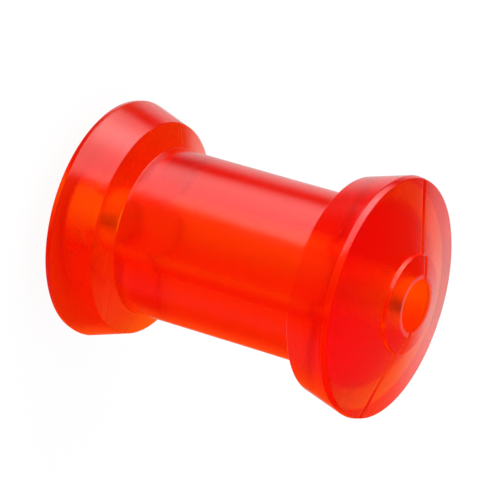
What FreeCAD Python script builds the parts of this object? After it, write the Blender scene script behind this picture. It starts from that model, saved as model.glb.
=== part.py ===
import FreeCAD, Part
import math
import os
import Sketcher

# Keel roller of a boat trailer: one spool moulded in clear red polyurethane.
# A plain barrel carries the keel between two flanges with conical rims. Each end is a
# shallow cone with a raised boss, and a bore takes the shaft of the roller bracket.
# The roller stands on its lower end: +Z runs along the bore, the origin is the centre of
# the lower end, and X lies in the mould's parting plane. Lengths are millimetres and
# angles are degrees.

DRIVING_SIZES = [
    ("roller_length", "127.0", "end land to end land"),
    ("bore_diameter", "17.5", "bore, a clearance size for a 5/8 inch shaft"),
    ("barrel_diameter", "57.4", "keel seat between the flanges"),
    ("flange_diameter", "81.7", "at the outer corner of the rim, before it is rounded"),
    ("rim_width", "15.3", "rim cone along the axis"),
    ("rim_angle", "15.4", "rim cone against the axis, larger outwards"),
    ("inner_face_angle", "20.0", "draft of the face between barrel and rim"),
    ("end_band_width", "1.1", "narrow band that closes the rim, along the axis"),
    ("end_band_inset", "0.4", "how far that band closes inwards"),
    ("end_cone_angle", "15.0", "end face and boss top against the end plane"),
    ("boss_diameter", "33.7", "boss at its foot"),
    ("boss_height", "1.45", "boss side along the axis"),
    ("boss_draft", "6.0", "draft of the boss side"),
    ("land_diameter", "20.8", "flat ring round the bore"),
    ("rim_corner_radius", "0.5", "rounding of the rim's inner corner"),
    ("barrel_root_radius", "0.4", "hollow between barrel and flange"),
    ("rim_edge_radius", "1.6", "rounding of the rim's outer corner"),
    ("end_edge_radius", "0.3", "edge between the narrow band and the end face"),
    ("boss_root_radius", "0.5", "hollow at the foot of the boss"),
    ("boss_edge_radius", "0.4", "rounding at the top of the boss side"),
    ("bore_mouth_radius", "0.3", "rounding of the bore's mouth"),
    ("parting_flank_angle", "14.0", "flank of the parting groove against the end"),
    ("parting_depth_land", "0.45", "parting groove across the land"),
    ("parting_depth_boss", "0.48", "parting groove at the edge of the boss"),
    ("parting_depth_foot", "0.42", "parting groove at the foot of the boss"),
    ("parting_depth_rim", "0.18", "parting groove at the rim"),
]

# How far the groove cutters stand above their bottoms and run out past the rim
CUTTER_RISE = 3.0
CUTTER_OVERRUN = 2.0

# A groove section's V before its dimensions place it: its bottom and its two upper corners
ROUGH_GROOVE = [(0.0, 60.0), (12.0, 63.0), (-12.0, 63.0)]

# How near a circle lies to the mouth of the bore when it is that mouth
MATCH_TOLERANCE = 0.001

# Sides of the half outline, in drawing order, each from its first corner to the next
MIDDLE, BARREL, INNER_FACE, RIM, END_BAND, END_FACE, BOSS_SIDE, BOSS_TOP, LAND, AXIS = range(10)

# The origin and the upright axis of a sketch, and the ends of a side, in constraints
ORIGIN = (-1, 1)
UPRIGHT = -2
START = 1
END = 2


def make_sheet(doc):
    # One row for each driving size: name, value and what it measures
    sheet = doc.addObject("Spreadsheet::Sheet", "sizes")
    for row, (alias, value, meaning) in enumerate(DRIVING_SIZES, 1):
        sheet.set("A%d" % row, alias)
        sheet.set("B%d" % row, value)
        sheet.set("C%d" % row, meaning)
        sheet.setAlias("B%d" % row, alias)
    doc.recompute()
    return sheet


def origin_feature(body, role):
    # A plane or an axis of the body's own origin
    return next(item for item in body.Origin.OriginFeatures if item.Role == role)


def new_sketch(body, name, role):
    sketch = body.newObject("Sketcher::SketchObject", name)
    sketch.AttachmentSupport = [(origin_feature(body, role), "")]
    sketch.MapMode = "FlatFace"
    return sketch


def add_closed_outline(sketch, points):
    # Straight sides through the points, each joined to the next
    corners = [FreeCAD.Vector(x, y, 0) for x, y in points]
    for start, end in zip(corners, corners[1:] + corners[:1]):
        sketch.addGeometry(Part.LineSegment(start, end), False)
    for side in range(len(corners)):
        following = (side + 1) % len(corners)
        sketch.addConstraint(Sketcher.Constraint("Coincident", side, END, following, START))


def bind(sketch, kind, geometry, expression):
    # A driving dimension tied to the sheet, set at its value so that nothing jumps
    value = FreeCAD.Units.Quantity(sketch.evalExpression(expression)).Value
    if kind == "Angle":
        value = math.radians(value)
    index = sketch.addConstraint(Sketcher.Constraint(kind, *geometry, value))
    sketch.setExpression("Constraints[%d]" % index, expression)


def measure(sketch, kind, geometry, name):
    # A reference dimension that later features read by its name
    index = sketch.addConstraint(Sketcher.Constraint(kind, *geometry, 1.0))
    sketch.setDriving(index, False)
    sketch.renameConstraint(index, name)


def round_corner(sketch, side, alias, size):
    # An arc rounds the end of a side, and the corner stays where its dimensions put it
    arc = len(sketch.Geometry)
    sketch.fillet(side, END, size(alias), True, True)
    bind(sketch, "Radius", (arc,), "sizes." + alias)


def rough_outline(size):
    # Corners near their final places, which the constraints then fix
    def slope(alias):
        return math.tan(math.radians(size(alias)))

    land = (size("land_diameter") / 2, size("roller_length") / 2)
    foot_radius = size("boss_diameter") / 2
    top_radius = foot_radius - size("boss_height") * slope("boss_draft")
    top = (top_radius, land[1] - (top_radius - land[0]) * slope("end_cone_angle"))
    foot = (foot_radius, top[1] - size("boss_height"))
    rim_radius = size("flange_diameter") / 2
    edge_radius = rim_radius - size("end_band_inset")
    edge = (edge_radius, foot[1] - (edge_radius - foot_radius) * slope("end_cone_angle"))
    rim = (rim_radius, edge[1] - size("end_band_width"))
    corner = (rim_radius - size("rim_width") * slope("rim_angle"), rim[1] - size("rim_width"))
    barrel_radius = size("barrel_diameter") / 2
    root = (barrel_radius, corner[1] - (corner[0] - barrel_radius) * slope("inner_face_angle"))
    middle = (barrel_radius, 0.0)
    return [(0.0, 0.0), middle, root, corner, rim, edge, foot, top, land, (0.0, land[1])]


def draw_outline(body, size):
    # Half of the spool's section, from its middle to its upper end
    sketch = new_sketch(body, "outline", "XZ_Plane")
    add_closed_outline(sketch, rough_outline(size))
    sketch.addConstraint(Sketcher.Constraint("Coincident", MIDDLE, START, *ORIGIN))
    sketch.addConstraint(Sketcher.Constraint("Horizontal", MIDDLE))
    sketch.addConstraint(Sketcher.Constraint("Vertical", BARREL))
    sketch.addConstraint(Sketcher.Constraint("Horizontal", LAND))
    sketch.addConstraint(Sketcher.Constraint("Vertical", AXIS))
    sketch.addConstraint(Sketcher.Constraint("Parallel", END_FACE, BOSS_TOP))
    bind(sketch, "DistanceY", (*ORIGIN, LAND, START), "sizes.roller_length / 2")
    bind(sketch, "DistanceX", (*ORIGIN, BARREL, START), "sizes.barrel_diameter / 2")
    bind(sketch, "DistanceX", (*ORIGIN, RIM, END), "sizes.flange_diameter / 2")
    bind(sketch, "DistanceX", (*ORIGIN, BOSS_SIDE, START), "sizes.boss_diameter / 2")
    bind(sketch, "DistanceX", (*ORIGIN, LAND, START), "sizes.land_diameter / 2")
    bind(sketch, "DistanceY", (RIM, START, RIM, END), "sizes.rim_width")
    bind(sketch, "DistanceY", (END_BAND, START, END_BAND, END), "sizes.end_band_width")
    bind(sketch, "DistanceX", (END_BAND, END, END_BAND, START), "sizes.end_band_inset")
    bind(sketch, "DistanceY", (BOSS_SIDE, START, BOSS_SIDE, END), "sizes.boss_height")
    bind(sketch, "Angle", (RIM,), "90 deg - sizes.rim_angle * 1 deg")
    bind(sketch, "Angle", (INNER_FACE,), "sizes.inner_face_angle * 1 deg")
    bind(sketch, "Angle", (BOSS_SIDE,), "90 deg + sizes.boss_draft * 1 deg")
    bind(sketch, "Angle", (BOSS_TOP,), "180 deg - sizes.end_cone_angle * 1 deg")
    measure(sketch, "DistanceX", (*ORIGIN, END_FACE, START), "edge_radius")
    measure(sketch, "DistanceY", (*ORIGIN, END_FACE, START), "edge_height")
    measure(sketch, "DistanceY", (*ORIGIN, BOSS_SIDE, START), "foot_height")
    measure(sketch, "DistanceY", (*ORIGIN, BOSS_SIDE, END), "top_height")
    round_corner(sketch, BARREL, "barrel_root_radius", size)
    round_corner(sketch, INNER_FACE, "rim_corner_radius", size)
    round_corner(sketch, RIM, "rim_edge_radius", size)
    round_corner(sketch, END_BAND, "end_edge_radius", size)
    round_corner(sketch, END_FACE, "boss_root_radius", size)
    round_corner(sketch, BOSS_SIDE, "boss_edge_radius", size)
    body.Document.recompute()
    return sketch


def turn_outline(body, outline):
    # The upper half of the spool, solid to its axis
    half = body.newObject("PartDesign::Revolution", "turned_half")
    half.Profile = outline
    half.ReferenceAxis = (outline, ["V_Axis"])
    half.Angle = 360.0
    body.Document.recompute()


def cut_bore(body):
    # The core pin of the mould leaves a plain hole from end to end
    circle = new_sketch(body, "bore_circle", "XY_Plane")
    circle.addGeometry(Part.Circle(FreeCAD.Vector(), FreeCAD.Vector(0, 0, 1), 1.0), False)
    circle.addConstraint(Sketcher.Constraint("Coincident", 0, 3, *ORIGIN))
    bind(circle, "Diameter", (0,), "sizes.bore_diameter")
    bore = body.newObject("PartDesign::Pocket", "bore")
    bore.Profile = circle
    bore.Type = "ThroughAll"
    bore.SideType = "Symmetric"
    body.Document.recompute()


def mouth_edge(shape, size):
    # Name of the circle where the bore leaves the land
    radius = size("bore_diameter") / 2
    height = size("roller_length") / 2
    for number, edge in enumerate(shape.Edges, 1):
        curve = edge.Curve
        if not isinstance(curve, Part.Circle):
            continue
        off = max(abs(curve.Radius - radius), abs(curve.Center.z - height))
        if off < MATCH_TOLERANCE:
            return "Edge%d" % number
    raise ValueError("the bore has no mouth at the land")


def round_bore_mouth(body, size):
    bored = body.Tip
    mouth = body.newObject("PartDesign::Fillet", "bore_mouth")
    mouth.Base = (bored, [mouth_edge(bored.Shape, size)])
    mouth.setExpression("Radius", "sizes.bore_mouth_radius")
    body.Document.recompute()


def draw_groove_section(body, name, radius, bottom_height):
    # A V that opens upwards, square to a radius and set out along it
    sketch = new_sketch(body, name, "YZ_Plane")
    sketch.setExpression("AttachmentOffset.Base.z", radius)
    add_closed_outline(sketch, ROUGH_GROOVE)
    sketch.addConstraint(Sketcher.Constraint("PointOnObject", 0, START, UPRIGHT))
    sketch.addConstraint(Sketcher.Constraint("Symmetric", 1, START, 1, END, UPRIGHT))
    bind(sketch, "Angle", (0,), "sizes.parting_flank_angle * 1 deg")
    bind(sketch, "DistanceY", (0, START, 0, END), "%g mm" % CUTTER_RISE)
    bind(sketch, "DistanceY", (*ORIGIN, 0, START), bottom_height)
    return sketch


def cut_groove(body, name, sections):
    # Straight flanks from each section to the next
    groove = body.newObject("PartDesign::SubtractiveLoft", name)
    groove.Profile = sections[0]
    groove.Sections = sections[1:]
    groove.Ruled = True
    body.Document.recompute()
    return groove


def cut_parting_grooves(body):
    # Where the two halves of the mould meet, a shallow V runs across each end. It is
    # widest at the bore, steps down at the boss and narrows towards the rim.
    foot_radius = "sizes.boss_diameter / 2"
    fall = "tan(sizes.end_cone_angle * 1 deg)"
    land_bottom = "sizes.roller_length / 2 - sizes.parting_depth_land"
    boss_bottom = "outline.Constraints.top_height - sizes.parting_depth_boss * 1 mm"
    foot_bottom = "outline.Constraints.foot_height - sizes.boss_root_radius * %s * 1 mm"
    foot_bottom += " - sizes.parting_depth_foot * 1 mm"
    rim_bottom = "outline.Constraints.edge_height - %g mm * %s"
    rim_bottom += " - sizes.parting_depth_rim * 1 mm"
    boss_groove = cut_groove(body, "boss_groove", [
        draw_groove_section(body, "bore_section", "sizes.bore_diameter / 4", land_bottom),
        draw_groove_section(body, "land_section", "sizes.land_diameter / 2", land_bottom),
        draw_groove_section(body, "boss_section", foot_radius, boss_bottom),
    ])
    end_groove = cut_groove(body, "end_groove", [
        draw_groove_section(
            body, "foot_section", foot_radius + " + sizes.boss_root_radius", foot_bottom % fall
        ),
        draw_groove_section(
            body,
            "rim_section",
            "outline.Constraints.edge_radius + %g mm" % CUTTER_OVERRUN,
            rim_bottom % (CUTTER_OVERRUN, fall),
        ),
    ])
    opposite = body.newObject("PartDesign::PolarPattern", "grooves_both_sides")
    opposite.Originals = [boss_groove, end_groove]
    opposite.Axis = (origin_feature(body, "Z_Axis"), [""])
    opposite.Angle = 360.0
    opposite.Occurrences = 2
    body.Tip = opposite
    body.Document.recompute()


def mirror_half(body):
    # The lower half is the upper one seen in the middle plane
    whole = body.newObject("PartDesign::Mirrored", "whole_spool")
    whole.TransformMode = "Whole shape"
    whole.MirrorPlane = (origin_feature(body, "XY_Plane"), [""])
    body.Tip = whole
    body.Document.recompute()


def make_roller(doc, size):
    body = doc.addObject("PartDesign::Body", "roller")
    body.Label = "roller"
    outline = draw_outline(body, size)
    turn_outline(body, outline)
    cut_bore(body)
    round_bore_mouth(body, size)
    cut_parting_grooves(body)
    mirror_half(body)
    body.setExpression("Placement.Base.z", "sizes.roller_length / 2")
    doc.recompute()
    return body


def check(doc, parts):
    # Stop before anything is written if a feature or a solid has failed
    for item in doc.Objects:
        if "Invalid" in item.State or "Error" in item.State:
            raise RuntimeError("%s did not build: %s" % (item.Name, item.State))
    for part in parts:
        shape = part.Shape
        if shape.isNull() or not shape.isValid() or len(shape.Solids) != 1:
            raise RuntimeError("%s is not one valid solid" % part.Label)


def main():
    doc = FreeCAD.newDocument("keel_roller")
    sheet = make_sheet(doc)
    parts = [make_roller(doc, lambda alias: float(sheet.get(alias)))]
    check(doc, parts)
    os.makedirs("parts", exist_ok=True)
    for part in parts:
        part.Shape.exportStep("parts/%s.step" % part.Label)
        print("%s: %.1f mm3" % (part.Label, part.Shape.Volume))


main()
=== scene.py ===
# Keel roller of a boat trailer, moulded in clear red polyurethane
# The roller stands on its lower end, as in the frame, and the camera is turned about its
# line of sight, so that the picture shows the roller lying down.
import math

import bpy
from mathutils import Matrix, Vector, noise


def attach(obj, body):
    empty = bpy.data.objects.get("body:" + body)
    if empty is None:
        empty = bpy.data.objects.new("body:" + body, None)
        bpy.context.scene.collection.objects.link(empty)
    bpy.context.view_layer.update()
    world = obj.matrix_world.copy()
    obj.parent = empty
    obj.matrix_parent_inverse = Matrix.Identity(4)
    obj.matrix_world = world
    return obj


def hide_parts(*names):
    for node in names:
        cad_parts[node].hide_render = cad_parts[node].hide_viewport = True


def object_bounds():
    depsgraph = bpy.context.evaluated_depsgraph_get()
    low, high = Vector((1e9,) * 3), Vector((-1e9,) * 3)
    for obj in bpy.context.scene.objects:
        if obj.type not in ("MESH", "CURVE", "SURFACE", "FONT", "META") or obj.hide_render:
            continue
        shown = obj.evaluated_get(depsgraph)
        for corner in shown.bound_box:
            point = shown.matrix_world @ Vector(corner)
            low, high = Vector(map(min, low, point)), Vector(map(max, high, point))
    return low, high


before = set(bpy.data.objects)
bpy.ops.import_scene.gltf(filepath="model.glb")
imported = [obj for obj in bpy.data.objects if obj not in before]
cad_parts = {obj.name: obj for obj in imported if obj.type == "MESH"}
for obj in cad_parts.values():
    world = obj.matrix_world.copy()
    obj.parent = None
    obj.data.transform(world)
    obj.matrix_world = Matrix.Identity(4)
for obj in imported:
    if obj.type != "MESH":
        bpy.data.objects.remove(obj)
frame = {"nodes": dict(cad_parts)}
cadLow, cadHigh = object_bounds()
rollerCentre = (cadLow + cadHigh) / 2
mm = 0.001
print("frame loaded:", ", ".join(frame["nodes"]))

# Sizes of the spool in millimetres and degrees. The main ones are the frame's own. The rim's
# cone and band, the roundings and the marks of the mould follow the photograph more closely.
spool = {
    "length": (cadHigh.z - cadLow.z) / mm,
    "bore": 17.5,
    "barrel": 57.4,
    "flange": 81.7,
    "rimWidth": 14.3,
    "rimShift": 0.84,  # how far both inner corners stand towards the lower end
    "rimAngle": 16.4,
    "innerAngle": 20.0,
    "bandWidth": 2.1,
    "bandInset": 0.5,
    "endAngle": 15.0,
    "boss": 33.7,
    "bossHeight": 1.45,
    "bossDraft": 6.0,
    "land": 20.8,
    "rimCornerRadius": 0.5,
    "rootRadius": 0.4,
    "rimEdgeRadius": 1.6,
    "endEdgeRadius": 0.6,
    "bossRootRadius": 0.25,
    "bossEdgeRadius": 0.2,
    "landEdgeRadius": 0.25,
    "mouthRadius": 0.3,
    # What the two halves of the mould leave where they meet: a V across each end, and flash
    "grooveAside": -1.1,  # how far the groove's bottom lies from the parting plane
    "flankAngle": 27.0,
    "landDepth": 0.55,
    "bossDepth": 0.6,
    "footDepth": 0.65,
    "rimDepth": 0.65,
    "lowerShare": 0.4,  # how deep the lower end's groove is against the upper one's
    "grooveSoftness": 0.06,
    "flashHeight": 0.03,
    "flangeFlash": 0.1,
    "flashWidth": 0.16,
    "mismatch": 0.06,  # how far one half stands in from the other
    # Slow waves of a cast surface, always inwards so that no size grows
    "waveInset": 0.04,
    "waveHeight": 0.09,
    "waveLength": 15.0,
    "fineWaveHeight": 0.02,
    "fineWaveLength": 5.0,
    "fineWaveStart": (9.0, 3.0, 5.0),  # keeps the fine waves from following the slow ones
    # How closely the points of the mesh stand
    "fewestSteps": 2,  # along an arc or a straight run
    "longestStep": 1.9,  # between rings in the middle of a straight run
    "arcStep": 11.0,  # degrees between rings round a corner
    "coarseTurn": 1.75,  # degrees between points, far from the parting plane
    "fineTurn": 0.12,  # degrees between points, at the parting plane
    "turnGrowth": 1.16,  # from each of these steps to the next
}


def slope(name):
    return math.tan(math.radians(spool[name]))


def halfCorners(rimShift):
    # Radius, height over the middle and rounding of each corner, from bore to barrel
    half = spool["length"] / 2
    bore, land, foot = spool["bore"] / 2, spool["land"] / 2, spool["boss"] / 2
    top = foot - spool["bossHeight"] * slope("bossDraft")
    topHeight = half - (top - land) * slope("endAngle")
    footHeight = topHeight - spool["bossHeight"]
    rim = spool["flange"] / 2
    edge = rim - spool["bandInset"]
    edgeHeight = footHeight - (edge - foot) * slope("endAngle")
    rimHeight = edgeHeight - spool["bandWidth"]
    inner = rim - spool["rimWidth"] * slope("rimAngle")
    innerHeight = rimHeight - spool["rimWidth"]
    barrel = spool["barrel"] / 2
    rootHeight = innerHeight - (inner - barrel) * slope("innerAngle")
    return {
        "mouth": (bore, half, spool["mouthRadius"]),
        "land": (land, half, spool["landEdgeRadius"]),
        "bossTop": (top, topHeight, spool["bossEdgeRadius"]),
        "bossFoot": (foot, footHeight, spool["bossRootRadius"]),
        "edge": (edge, edgeHeight, spool["endEdgeRadius"]),
        "rim": (rim, rimHeight, spool["rimEdgeRadius"]),
        "inner": (inner, innerHeight + rimShift, spool["rimCornerRadius"]),
        "root": (barrel, rootHeight, spool["rootRadius"]),
    }


corner = halfCorners(-spool["rimShift"])
lowerCorner = halfCorners(spool["rimShift"])


def arcAround(before, place, after, radius):
    # Points of the arc that rounds a corner, from its first tangent point to its last
    backWay = (before - place).normalized()
    onWay = (after - place).normalized()
    halfAngle = backWay.angle(onWay) / 2
    reach = radius / math.tan(halfAngle)
    centre = place + (backWay + onWay).normalized() * (radius / math.sin(halfAngle))
    start = place + backWay * reach - centre
    turn = start.angle_signed(place + onWay * reach - centre)
    count = max(spool["fewestSteps"], math.ceil(abs(math.degrees(turn)) / spool["arcStep"]))
    return [centre + Matrix.Rotation(-turn * step / count, 2) @ start for step in range(count + 1)]


def runBetween(start, end):
    # Points between two corners, closer together near each
    steps = (end - start).length * math.pi / 2 / spool["longestStep"]
    count = max(spool["fewestSteps"], math.ceil(steps))
    shares = [(1 - math.cos(math.pi * step / count)) / 2 for step in range(1, count)]
    return [start.lerp(end, share) for share in shares]


def spoolOutline():
    # The closed section of one side, out over the upper end, down outside, in over the lower
    # end and up the bore, as (radius, height over the middle)
    corners = list(corner.values())
    for radius, height, rounding in reversed(lowerCorner.values()):
        corners.append((radius, -height, rounding))
    places = [Vector(item[:2]) for item in corners]
    outline = []
    for index, (_, _, rounding) in enumerate(corners):
        before, after = places[index - 1], places[(index + 1) % len(corners)]
        arc = arcAround(before, places[index], after, rounding)
        if outline:
            outline += runBetween(outline[-1], arc[0])
        outline += arc
    return outline + runBetween(outline[-1], outline[0])


def turnAngles():
    # Angles round the axis, closest together where the parting plane meets the surface
    offsets, step = [0.0], spool["fineTurn"]
    while offsets[-1] + step < 90.0:
        offsets.append(offsets[-1] + step)
        step = min(step * spool["turnGrowth"], spool["coarseTurn"])
    quarter = [offset * 90.0 / (offsets[-1] + step) for offset in offsets]
    half = quarter + [90.0] + [180.0 - offset for offset in reversed(quarter[1:])]
    return [math.radians(angle) for angle in half + [angle + 180.0 for angle in half]]


def grooveBottom(across, depth):
    # Height over the middle of the parting groove's bottom, by distance from the axis
    landRadius, landHeight = corner["land"][:2]
    footRadius, footHeight = corner["bossFoot"][:2]
    edgeRadius, edgeHeight = corner["edge"][:2]
    landBottom = landHeight - depth * spool["landDepth"]
    if across < footRadius:
        share = max(0.0, (across - landRadius) / (footRadius - landRadius))
        bossBottom = corner["bossTop"][1] - depth * spool["bossDepth"]
        return landBottom + share * (bossBottom - landBottom)
    start = footRadius + spool["bossRootRadius"]
    startBottom = footHeight - spool["bossRootRadius"] * slope("endAngle")
    startBottom -= depth * spool["footDepth"]
    share = max(0.0, (across - start) / (edgeRadius - start))
    return startBottom + share * (edgeHeight - depth * spool["rimDepth"] - startBottom)


def softly(gap):
    # How far a point sinks to reach a surface that lies gap below it, with a soft edge
    return (gap + math.hypot(gap, spool["grooveSoftness"])) / 2


def waveSink(place):
    # How far the cast surface stands in from its size
    fineStart = Vector(spool["fineWaveStart"])
    slow = 0.5 + 0.5 * noise.noise(place / spool["waveLength"])
    fine = 0.5 + 0.5 * noise.noise(place / spool["fineWaveLength"] + fineStart)
    return spool["waveInset"] + spool["waveHeight"] * slow + spool["fineWaveHeight"] * fine


def placeOnSpool(point, normal, angle):
    # One point of the turned outline, with its waves and its parting mark
    ray = Vector((math.cos(angle), math.sin(angle), 0.0))
    place = ray * point.x + Vector((0.0, 0.0, point.y))
    outwards = ray * normal.x + Vector((0.0, 0.0, normal.y))
    sink = waveSink(place)
    # Flash stands on the barrel and the flanges, not in the bore or on the ends
    side = abs(place.y) / spool["flashWidth"]
    if point.x < corner["land"][0] or abs(place.z) > corner["rim"][1]:
        flash = 0.0
    elif point.x > corner["root"][0] + spool["rootRadius"]:
        flash = spool["flangeFlash"]
    else:
        flash = spool["flashHeight"]
    flash *= math.exp(-side * side)
    if place.y < 0.0 and point.x > corner["land"][0]:
        sink += spool["mismatch"] * min(1.0, side)
    place -= outwards * max(spool["waveInset"], sink - flash)
    # The groove runs across the ends
    if abs(place.z) > corner["rim"][1]:
        depth = 1.0 if place.z > 0.0 else spool["lowerShare"]
        flank = depth * slope("flankAngle")
        groove = grooveBottom(abs(place.x), depth) + abs(place.y - spool["grooveAside"]) * flank
        place.z = math.copysign(abs(place.z) - softly(abs(place.z) - groove), place.z)
    return place


def makeRollerMesh():
    outline = spoolOutline()
    angles = turnAngles()
    rings, turns = len(outline), len(angles)
    middle = Vector((0.0, 0.0, spool["length"] / 2))
    verts, faces = [], []
    for ring, point in enumerate(outline):
        along = outline[(ring + 1) % rings] - outline[ring - 1]
        normal = Vector((-along.y, along.x)).normalized()
        for angle in angles:
            verts.append((placeOnSpool(point, normal, angle) + middle) * mm)
    for ring in range(rings):
        here, there = ring * turns, (ring + 1) % rings * turns
        for turn in range(turns):
            follow = (turn + 1) % turns
            faces.append((here + turn, there + turn, there + follow, here + follow))
    mesh = bpy.data.meshes.new("spoolRoller")
    mesh.from_pydata(verts, [], faces)
    mesh.shade_smooth()
    mesh.update()
    return mesh


def freshTree(owner):
    # The emptied node tree of a material or a world
    owner.use_nodes = True
    owner.node_tree.nodes.clear()
    return owner.node_tree


def feed(tree, socket, value):
    # A number or colour is set on the socket itself, and another node's output is linked
    if isinstance(value, bpy.types.NodeSocket):
        tree.links.new(value, socket)
    else:
        socket.default_value = value


def smoothRange(tree, value, limits, low=0.0, high=1.0):
    # From low at the first limit to high at the second
    node = tree.nodes.new("ShaderNodeMapRange")
    node.interpolation_type = "SMOOTHSTEP"
    node.inputs["From Min"].default_value = limits[0]
    node.inputs["From Max"].default_value = limits[1]
    feed(tree, node.inputs["Value"], value)
    feed(tree, node.inputs["To Min"], low)
    feed(tree, node.inputs["To Max"], high)
    return node.outputs["Result"]


def mixedColour(tree, share, colour, otherwise):
    node = tree.nodes.new("ShaderNodeMix")
    node.data_type = "RGBA"
    feed(tree, node.inputs["Factor"], share)
    feed(tree, node.inputs["A"], otherwise)
    feed(tree, node.inputs["B"], colour)
    return node.outputs["Result"]


# Clear red polyurethane: what it lets through, and the skin that the mould gives it
polyurethane = {
    "colour": (1.0, 0.26, 0.03, 1.0),
    "boreColour": (1.0, 0.95, 0.9, 1.0),
    "clear": 1.0,
    "refraction": 1.5,
    "depthColour": (1.0, 0.7, 0.0, 1.0),
    "depthDensity": 150.0,  # in one metre
    "boreSkin": (9.6 * mm, 9.0 * mm),  # where the outer skin ends, by distance from the axis
    "mouthSkin": (53.5 * mm, 48.5 * mm),  # how far the outer skin reaches in at each mouth
    "endHeight": (53.0 * mm, 54.0 * mm),  # where the duller end faces begin
    "endRadius": (16.6 * mm, 17.2 * mm),
    "sideRoughness": 0.15,
    "endRoughness": 0.21,
    "roughnessSpread": 0.06,
    "rimRadius": (34.5 * mm, 36.5 * mm),  # where the rim's own haze takes over
    "sideHaze": 0.4,
    "rimHaze": 0.08,
    "endHaze": 0.33,
    "cloudSize": 12 * mm,
    "cloudDetail": 2.0,
    "peelSize": 1.5 * mm,
    "peelHeight": 0.01 * mm,
    "peelDetail": 1.0,
    "pitSpacing": 5.0 * mm,
    "pitRadius": 0.3 * mm,
    "pitDepth": 0.12 * mm,
}


def makePolyurethane():
    material = bpy.data.materials.new("clearRedPolyurethane")
    tree = freshTree(material)
    nodes, links = tree.nodes, tree.links
    output = nodes.new("ShaderNodeOutputMaterial")
    shader = nodes.new("ShaderNodeBsdfPrincipled")
    absorption = nodes.new("ShaderNodeVolumeAbsorption")
    places = nodes.new("ShaderNodeTexCoord")
    surface = nodes.new("ShaderNodeNewGeometry")

    def worked(operation, *values):
        node = nodes.new("ShaderNodeMath")
        node.operation = operation
        for socket, value in zip(node.inputs, values):
            feed(tree, socket, value)
        return node.outputs["Value"]

    def noiseOf(size, detail):
        node = nodes.new("ShaderNodeTexNoise")
        node.inputs["Scale"].default_value = 1 / size
        node.inputs["Detail"].default_value = detail
        links.new(places.outputs["Object"], node.inputs["Vector"])
        return node.outputs["Fac"]

    def bumped(height, distance, normal=None):
        node = nodes.new("ShaderNodeBump")
        node.inputs["Distance"].default_value = distance
        links.new(height, node.inputs["Height"])
        if normal:
            links.new(normal, node.inputs["Normal"])
        return node.outputs["Normal"]

    # Distance from the axis and height over the middle, which is alike at both ends
    place = nodes.new("ShaderNodeSeparateXYZ")
    links.new(places.outputs["Object"], place.inputs["Vector"])
    level = nodes.new("ShaderNodeCombineXYZ")
    links.new(place.outputs["X"], level.inputs["X"])
    links.new(place.outputs["Y"], level.inputs["Y"])
    fromAxis = nodes.new("ShaderNodeVectorMath")
    fromAxis.operation = "LENGTH"
    links.new(level.outputs["Vector"], fromAxis.inputs[0])
    across = fromAxis.outputs["Value"]
    height = worked("SUBTRACT", place.outputs["Z"], spool["length"] / 2 * mm)
    height = worked("ABSOLUTE", height)

    # Colour is in the depth and in the outer skin, so the bore's wall is left nearly clear
    inBore = smoothRange(tree, across, polyurethane["boreSkin"])
    bared = smoothRange(tree, height, polyurethane["mouthSkin"], high=inBore)
    tint = mixedColour(tree, bared, polyurethane["boreColour"], polyurethane["colour"])
    links.new(tint, shader.inputs["Base Color"])

    # The end faces round the bosses are duller than the rest, and the gloss is a little cloudy
    onEnd = smoothRange(tree, across, polyurethane["endRadius"])
    onEnd = smoothRange(tree, height, polyurethane["endHeight"], high=onEnd)
    whole = (0.0, 1.0)
    gloss = smoothRange(tree, onEnd, whole, polyurethane["sideRoughness"], polyurethane["endRoughness"])
    clouds = noiseOf(polyurethane["cloudSize"], polyurethane["cloudDetail"])
    gloss = worked("MULTIPLY_ADD", clouds, polyurethane["roughnessSpread"], gloss)

    # The surface met from inside is duller, which stands for the haze in the depth
    onRim = smoothRange(tree, across, polyurethane["rimRadius"])
    haze = smoothRange(tree, onRim, whole, polyurethane["sideHaze"], polyurethane["rimHaze"])
    haze = smoothRange(tree, onEnd, whole, haze, polyurethane["endHaze"])
    haze = smoothRange(tree, inBore, whole, haze, 0.0)
    gloss = worked("MULTIPLY_ADD", surface.outputs["Backfacing"], haze, gloss)
    links.new(gloss, shader.inputs["Roughness"])

    # A fine peel all over, with a small pit here and there
    pits = nodes.new("ShaderNodeTexVoronoi")
    pits.inputs["Scale"].default_value = 1 / polyurethane["pitSpacing"]
    links.new(places.outputs["Object"], pits.inputs["Vector"])
    pitEdge = polyurethane["pitRadius"] / polyurethane["pitSpacing"]
    pitShape = smoothRange(tree, pits.outputs["Distance"], (0.0, pitEdge))
    peel = noiseOf(polyurethane["peelSize"], polyurethane["peelDetail"])
    normal = bumped(peel, polyurethane["peelHeight"])
    normal = bumped(pitShape, polyurethane["pitDepth"], normal)
    links.new(normal, shader.inputs["Normal"])

    shader.inputs["IOR"].default_value = polyurethane["refraction"]
    shader.inputs["Transmission Weight"].default_value = polyurethane["clear"]
    absorption.inputs["Color"].default_value = polyurethane["depthColour"]
    absorption.inputs["Density"].default_value = polyurethane["depthDensity"]
    links.new(shader.outputs["BSDF"], output.inputs["Surface"])
    links.new(absorption.outputs["Volume"], output.inputs["Volume"])
    return material


# The dressed roller stands for the frame's own, which is hidden and stays for collision
roller = bpy.data.objects.new("spoolRoller", makeRollerMesh())
bpy.context.scene.collection.objects.link(roller)
roller.data.materials.append(makePolyurethane())
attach(roller, "root")
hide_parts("roller")
print("roller made:", len(roller.data.polygons), "faces")


def wayTo(azimuth, elevation):
    # Unit vector from the roller, azimuth from +X towards +Y
    turn, rise = math.radians(azimuth), math.radians(elevation)
    level = math.cos(rise)
    return Vector((level * math.cos(turn), level * math.sin(turn), math.sin(rise)))


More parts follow.
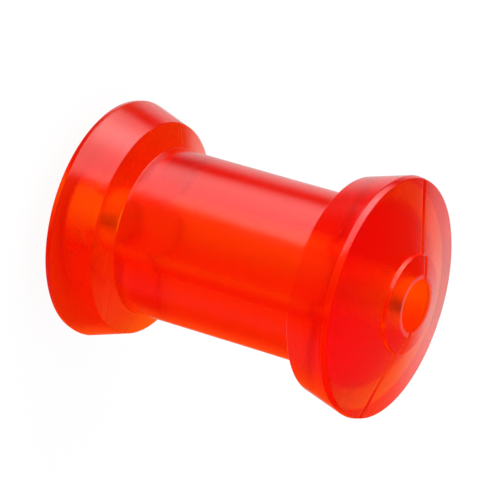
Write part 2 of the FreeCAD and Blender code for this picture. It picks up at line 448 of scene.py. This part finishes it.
# In the photograph's studio the roller lies on its rims. These are that studio's ways, as
# they run from the standing roller.
lying = {
    "up": (29.1, 0.0),
    "away": (-60.9, -32.3),  # along the table, away from the camera
    "frontLeft": (0.77, 0.64),  # shares of the ways to the front and to the left
    "toLamp": (0.45, 0.1),  # shares of the ways away and to the right, besides up
    "toShade": (0.43, 0.9),  # shares of the ways away and down
}
lyingUp = wayTo(*lying["up"])
lyingAway = wayTo(*lying["away"])
lyingRight = lyingAway.cross(lyingUp)
front, left = lying["frontLeft"]
lyingFrontLeft = -(front * lyingAway + left * lyingRight).normalized()
away, right = lying["toLamp"]
lyingToLamp = (lyingUp + away * lyingAway + right * lyingRight).normalized()
away, down = lying["toShade"]
lyingToShade = (away * lyingAway - down * lyingUp).normalized()


def makePlane(name, corners):
    mesh = bpy.data.meshes.new(name)
    mesh.from_pydata(corners, [], [(0, 1, 2, 3)])
    plane = bpy.data.objects.new(name, mesh)
    bpy.context.scene.collection.objects.link(plane)
    return plane


paleFloor = {
    "side": 6.0,
    "drop": 0.2 * mm,  # under the roller's lower end
    "colour": (0.95, 0.95, 0.95, 1.0),
    "plain": 0.94,  # how much of the floor the camera sees as plain white
}


def makeFloor():
    side, drop = paleFloor["side"] / 2, paleFloor["drop"]
    corners = [(-side, -side, -drop), (side, -side, -drop), (side, side, -drop), (-side, side, -drop)]
    floor = makePlane("floor", corners)
    material = bpy.data.materials.new("paleFloor")
    tree = freshTree(material)
    nodes, links = tree.nodes, tree.links
    output = nodes.new("ShaderNodeOutputMaterial")
    mixer = nodes.new("ShaderNodeMixShader")
    lit = nodes.new("ShaderNodeBsdfDiffuse")
    plain = nodes.new("ShaderNodeEmission")
    path = nodes.new("ShaderNodeLightPath")
    share = nodes.new("ShaderNodeMath")
    share.operation = "MULTIPLY"
    share.inputs[1].default_value = paleFloor["plain"]
    lit.inputs["Color"].default_value = paleFloor["colour"]
    links.new(path.outputs["Is Camera Ray"], share.inputs[0])
    links.new(share.outputs["Value"], mixer.inputs["Fac"])
    links.new(lit.outputs["BSDF"], mixer.inputs[1])
    links.new(plain.outputs["Emission"], mixer.inputs[2])
    links.new(mixer.outputs["Shader"], output.inputs["Surface"])
    floor.data.materials.append(material)
    floor.visible_glossy = False
    floor.visible_transmission = False
    floor.visible_shadow = False


# The light from all round. Each pair is a fade by direction: the cosines with its way at
# which it starts and at which it is full.
studio = {
    "seen": (1.0, 1.0, 1.0, 1.0),  # by the camera
    "fill": (1.0, 1.0, 1.0, 1.0),  # on what isn't clear
    # In the roller's shine: a pale backdrop, the table, and the roller's own red shade on it
    "shineBehind": (0.75, 0.75, 0.75, 1.0),
    "shineFront": (0.01, 0.01, 0.01, 1.0),
    "shineTable": (0.11, 0.07, 0.11, 1.0),
    "shineShade": (1.0, 0.15, 0.02, 1.0),
    "awayFade": (0.15, 0.5),
    "sideFade": (0.64, 0.46),
    "sideLean": 0.7,  # how far the backdrop's right edge leans
    "lowFade": (-0.69, -0.55),
    "highFade": (0.5, 0.12),
    "tableFront": (-0.5, -0.15),
    "tableTop": (-0.3, -0.45),
    "tableFoot": (-0.84, -0.74),
    "shadeBelow": (-0.5, -0.62),
    # Through the clear body: white, a dark side of the studio, the lamp and the red shade
    "backlight": (1.07, 1.07, 1.0, 1.0),
    "dark": (0.35, 0.3, 0.3, 1.0),
    "darkSide": (0.66, 0.8),
    "darkLow": (-0.24, -0.08),
    "darkHigh": (0.74, 0.6),
    "lampGlow": (1.7, 1.7, 1.7, 1.0),
    "lampFade": (0.65, 0.88),
    "redShade": (1.0, 0.35, 0.3, 1.0),
    "redFade": (0.72, 0.92),
}


def makeWorld():
    world = bpy.data.worlds.new("studio")
    bpy.context.scene.world = world
    world.cycles.sampling_method = "NONE"
    tree = freshTree(world)
    nodes, links = tree.nodes, tree.links
    output = nodes.new("ShaderNodeOutputWorld")
    background = nodes.new("ShaderNodeBackground")
    path = nodes.new("ShaderNodeLightPath")
    ways = nodes.new("ShaderNodeTexCoord")

    def along(way):
        share = nodes.new("ShaderNodeVectorMath")
        share.operation = "DOT_PRODUCT"
        share.inputs[1].default_value = way
        links.new(ways.outputs["Generated"], share.inputs[0])
        return share.outputs["Value"]

    away, up = along(lyingAway), along(lyingUp)
    side = along(lyingRight + studio["sideLean"] * lyingUp)

    def faded(value, fade, top=1.0):
        return smoothRange(tree, value, studio[fade], high=top)

    def mixed(share, light, otherwise):
        return mixedColour(tree, share, light, otherwise)

    behind = faded(away, "awayFade")
    backdrop = faded(side, "sideFade", behind)
    backdrop = faded(up, "lowFade", backdrop)
    backdrop = faded(up, "highFade", backdrop)
    table = faded(away, "tableFront")
    table = faded(up, "tableTop", table)
    table = faded(up, "tableFoot", table)
    below = faded(up, "shadeBelow", behind)
    shine = mixed(table, studio["shineTable"], studio["shineFront"])
    shine = mixed(below, studio["shineShade"], shine)
    shine = mixed(backdrop, studio["shineBehind"], shine)
    dark = faded(along(lyingFrontLeft), "darkSide")
    dark = faded(up, "darkLow", dark)
    dark = faded(up, "darkHigh", dark)
    through = mixed(dark, studio["dark"], studio["backlight"])
    through = mixed(faded(along(lyingToLamp), "lampFade"), studio["lampGlow"], through)
    through = mixed(faded(along(lyingToShade), "redFade"), studio["redShade"], through)
    light = mixed(path.outputs["Is Glossy Ray"], shine, studio["fill"])
    light = mixed(path.outputs["Is Transmission Ray"], through, light)
    light = mixed(path.outputs["Is Camera Ray"], studio["seen"], light)
    links.new(light, background.inputs["Color"])
    links.new(background.outputs["Background"], output.inputs["Surface"])


lampSet = {
    "distance": 1.2,
    "way": (20.0, 38.0),
    "width": 1.0,
    "power": 9.0,
}


def makeLamp():
    # Only lights the floor: the roller's shine has the softbox
    light = bpy.data.lights.new("lamp", "AREA")
    light.size = lampSet["width"]
    light.energy = lampSet["power"]
    lamp = bpy.data.objects.new("lamp", light)
    bpy.context.scene.collection.objects.link(lamp)
    way = wayTo(*lampSet["way"])
    lamp.location = rollerCentre + way * lampSet["distance"]
    lamp.rotation_mode = "QUATERNION"
    lamp.rotation_quaternion = way.to_track_quat("Z", "Y")
    lamp.visible_camera = False
    lamp.visible_glossy = False
    lamp.visible_transmission = False


# The photograph's softbox as the roller's shine shows it, in metres over the roller
softbox = {
    "height": 1.0,
    "right": (-0.66, 0.9),
    "away": (-0.5, 1.42),
    "softEdge": 0.6,  # how far in from the far edge the light falls off
    "hotSpot": (0.18, 0.33),
    "hotReach": 0.55,
    "light": 2.2,
    "hotLight": 2.4,
}


def makeSoftbox():
    # A card whose light falls off towards its far edge and is brightest at its hot spot
    left, right = softbox["right"]
    near, far = softbox["away"]
    corners = [(left, near, 0.0), (right, near, 0.0), (right, far, 0.0), (left, far, 0.0)]
    card = makePlane("softboxCard", corners)
    turned = Matrix((lyingRight, lyingAway, lyingRight.cross(lyingAway))).transposed()
    place = rollerCentre + lyingUp * softbox["height"]
    card.matrix_world = Matrix.LocRotScale(place, turned, None)
    material = bpy.data.materials.new("lampGlow")
    tree = freshTree(material)
    nodes, links = tree.nodes, tree.links
    output = nodes.new("ShaderNodeOutputMaterial")
    glow = nodes.new("ShaderNodeEmission")
    places = nodes.new("ShaderNodeTexCoord")
    reach = nodes.new("ShaderNodeVectorMath")
    reach.operation = "DISTANCE"
    reach.inputs[1].default_value = (*softbox["hotSpot"], 0.0)
    links.new(places.outputs["Object"], reach.inputs[0])
    fade = nodes.new("ShaderNodeMapRange")
    fade.interpolation_type = "SMOOTHERSTEP"
    fade.inputs["From Max"].default_value = softbox["hotReach"]
    fade.inputs["To Min"].default_value = softbox["light"] + softbox["hotLight"]
    fade.inputs["To Max"].default_value = softbox["light"]
    links.new(reach.outputs["Value"], fade.inputs["Value"])
    onCard = nodes.new("ShaderNodeSeparateXYZ")
    links.new(places.outputs["Object"], onCard.inputs["Vector"])
    edge = nodes.new("ShaderNodeMapRange")
    edge.inputs["From Min"].default_value = far
    edge.inputs["From Max"].default_value = far - softbox["softEdge"]
    links.new(onCard.outputs["Y"], edge.inputs["Value"])
    links.new(fade.outputs["Result"], edge.inputs["To Max"])
    links.new(edge.outputs["Result"], glow.inputs["Strength"])
    links.new(glow.outputs["Emission"], output.inputs["Surface"])
    card.data.materials.append(material)
    card.visible_camera = False
    card.visible_diffuse = False
    card.visible_transmission = False
    card.visible_shadow = False


# The photograph's view of the roller, in metres, with the lens and sensor in millimetres
photoView = {
    "lens": 276.2,
    "sensor": 36.0,
    "distance": 1.2664,
    "way": (87.09, 28.0),
    "roll": 106.41,  # degrees that the camera is turned about its line of sight
    "aside": (0.00023, 0.00234, 0.0),
}


def makeCamera():
    back = wayTo(*photoView["way"])
    upright = back.to_track_quat("Z", "Y").to_matrix()
    turned = upright @ Matrix.Rotation(math.radians(photoView["roll"]), 3, "Z")
    place = rollerCentre + turned @ Vector(photoView["aside"]) + back * photoView["distance"]
    optics = bpy.data.cameras.new("camera")
    optics.lens = photoView["lens"]
    optics.sensor_width = photoView["sensor"]
    camera = bpy.data.objects.new("camera", optics)
    bpy.context.scene.collection.objects.link(camera)
    camera.matrix_world = Matrix.LocRotScale(place, turned, None)
    bpy.context.scene.camera = camera


# How many times light may bounce, enough to find its way through the clear body
bounces = {
    "all": 32,
    "shine": 24,
    "through": 24,
}


def setRender():
    scene = bpy.context.scene
    scene.view_settings.view_transform = "Standard"
    scene.cycles.max_bounces = bounces["all"]
    scene.cycles.glossy_bounces = bounces["shine"]
    scene.cycles.transmission_bounces = bounces["through"]


makeFloor()
makeWorld()
makeLamp()
makeSoftbox()
makeCamera()
setRender()
print("floor, lamps and camera made")
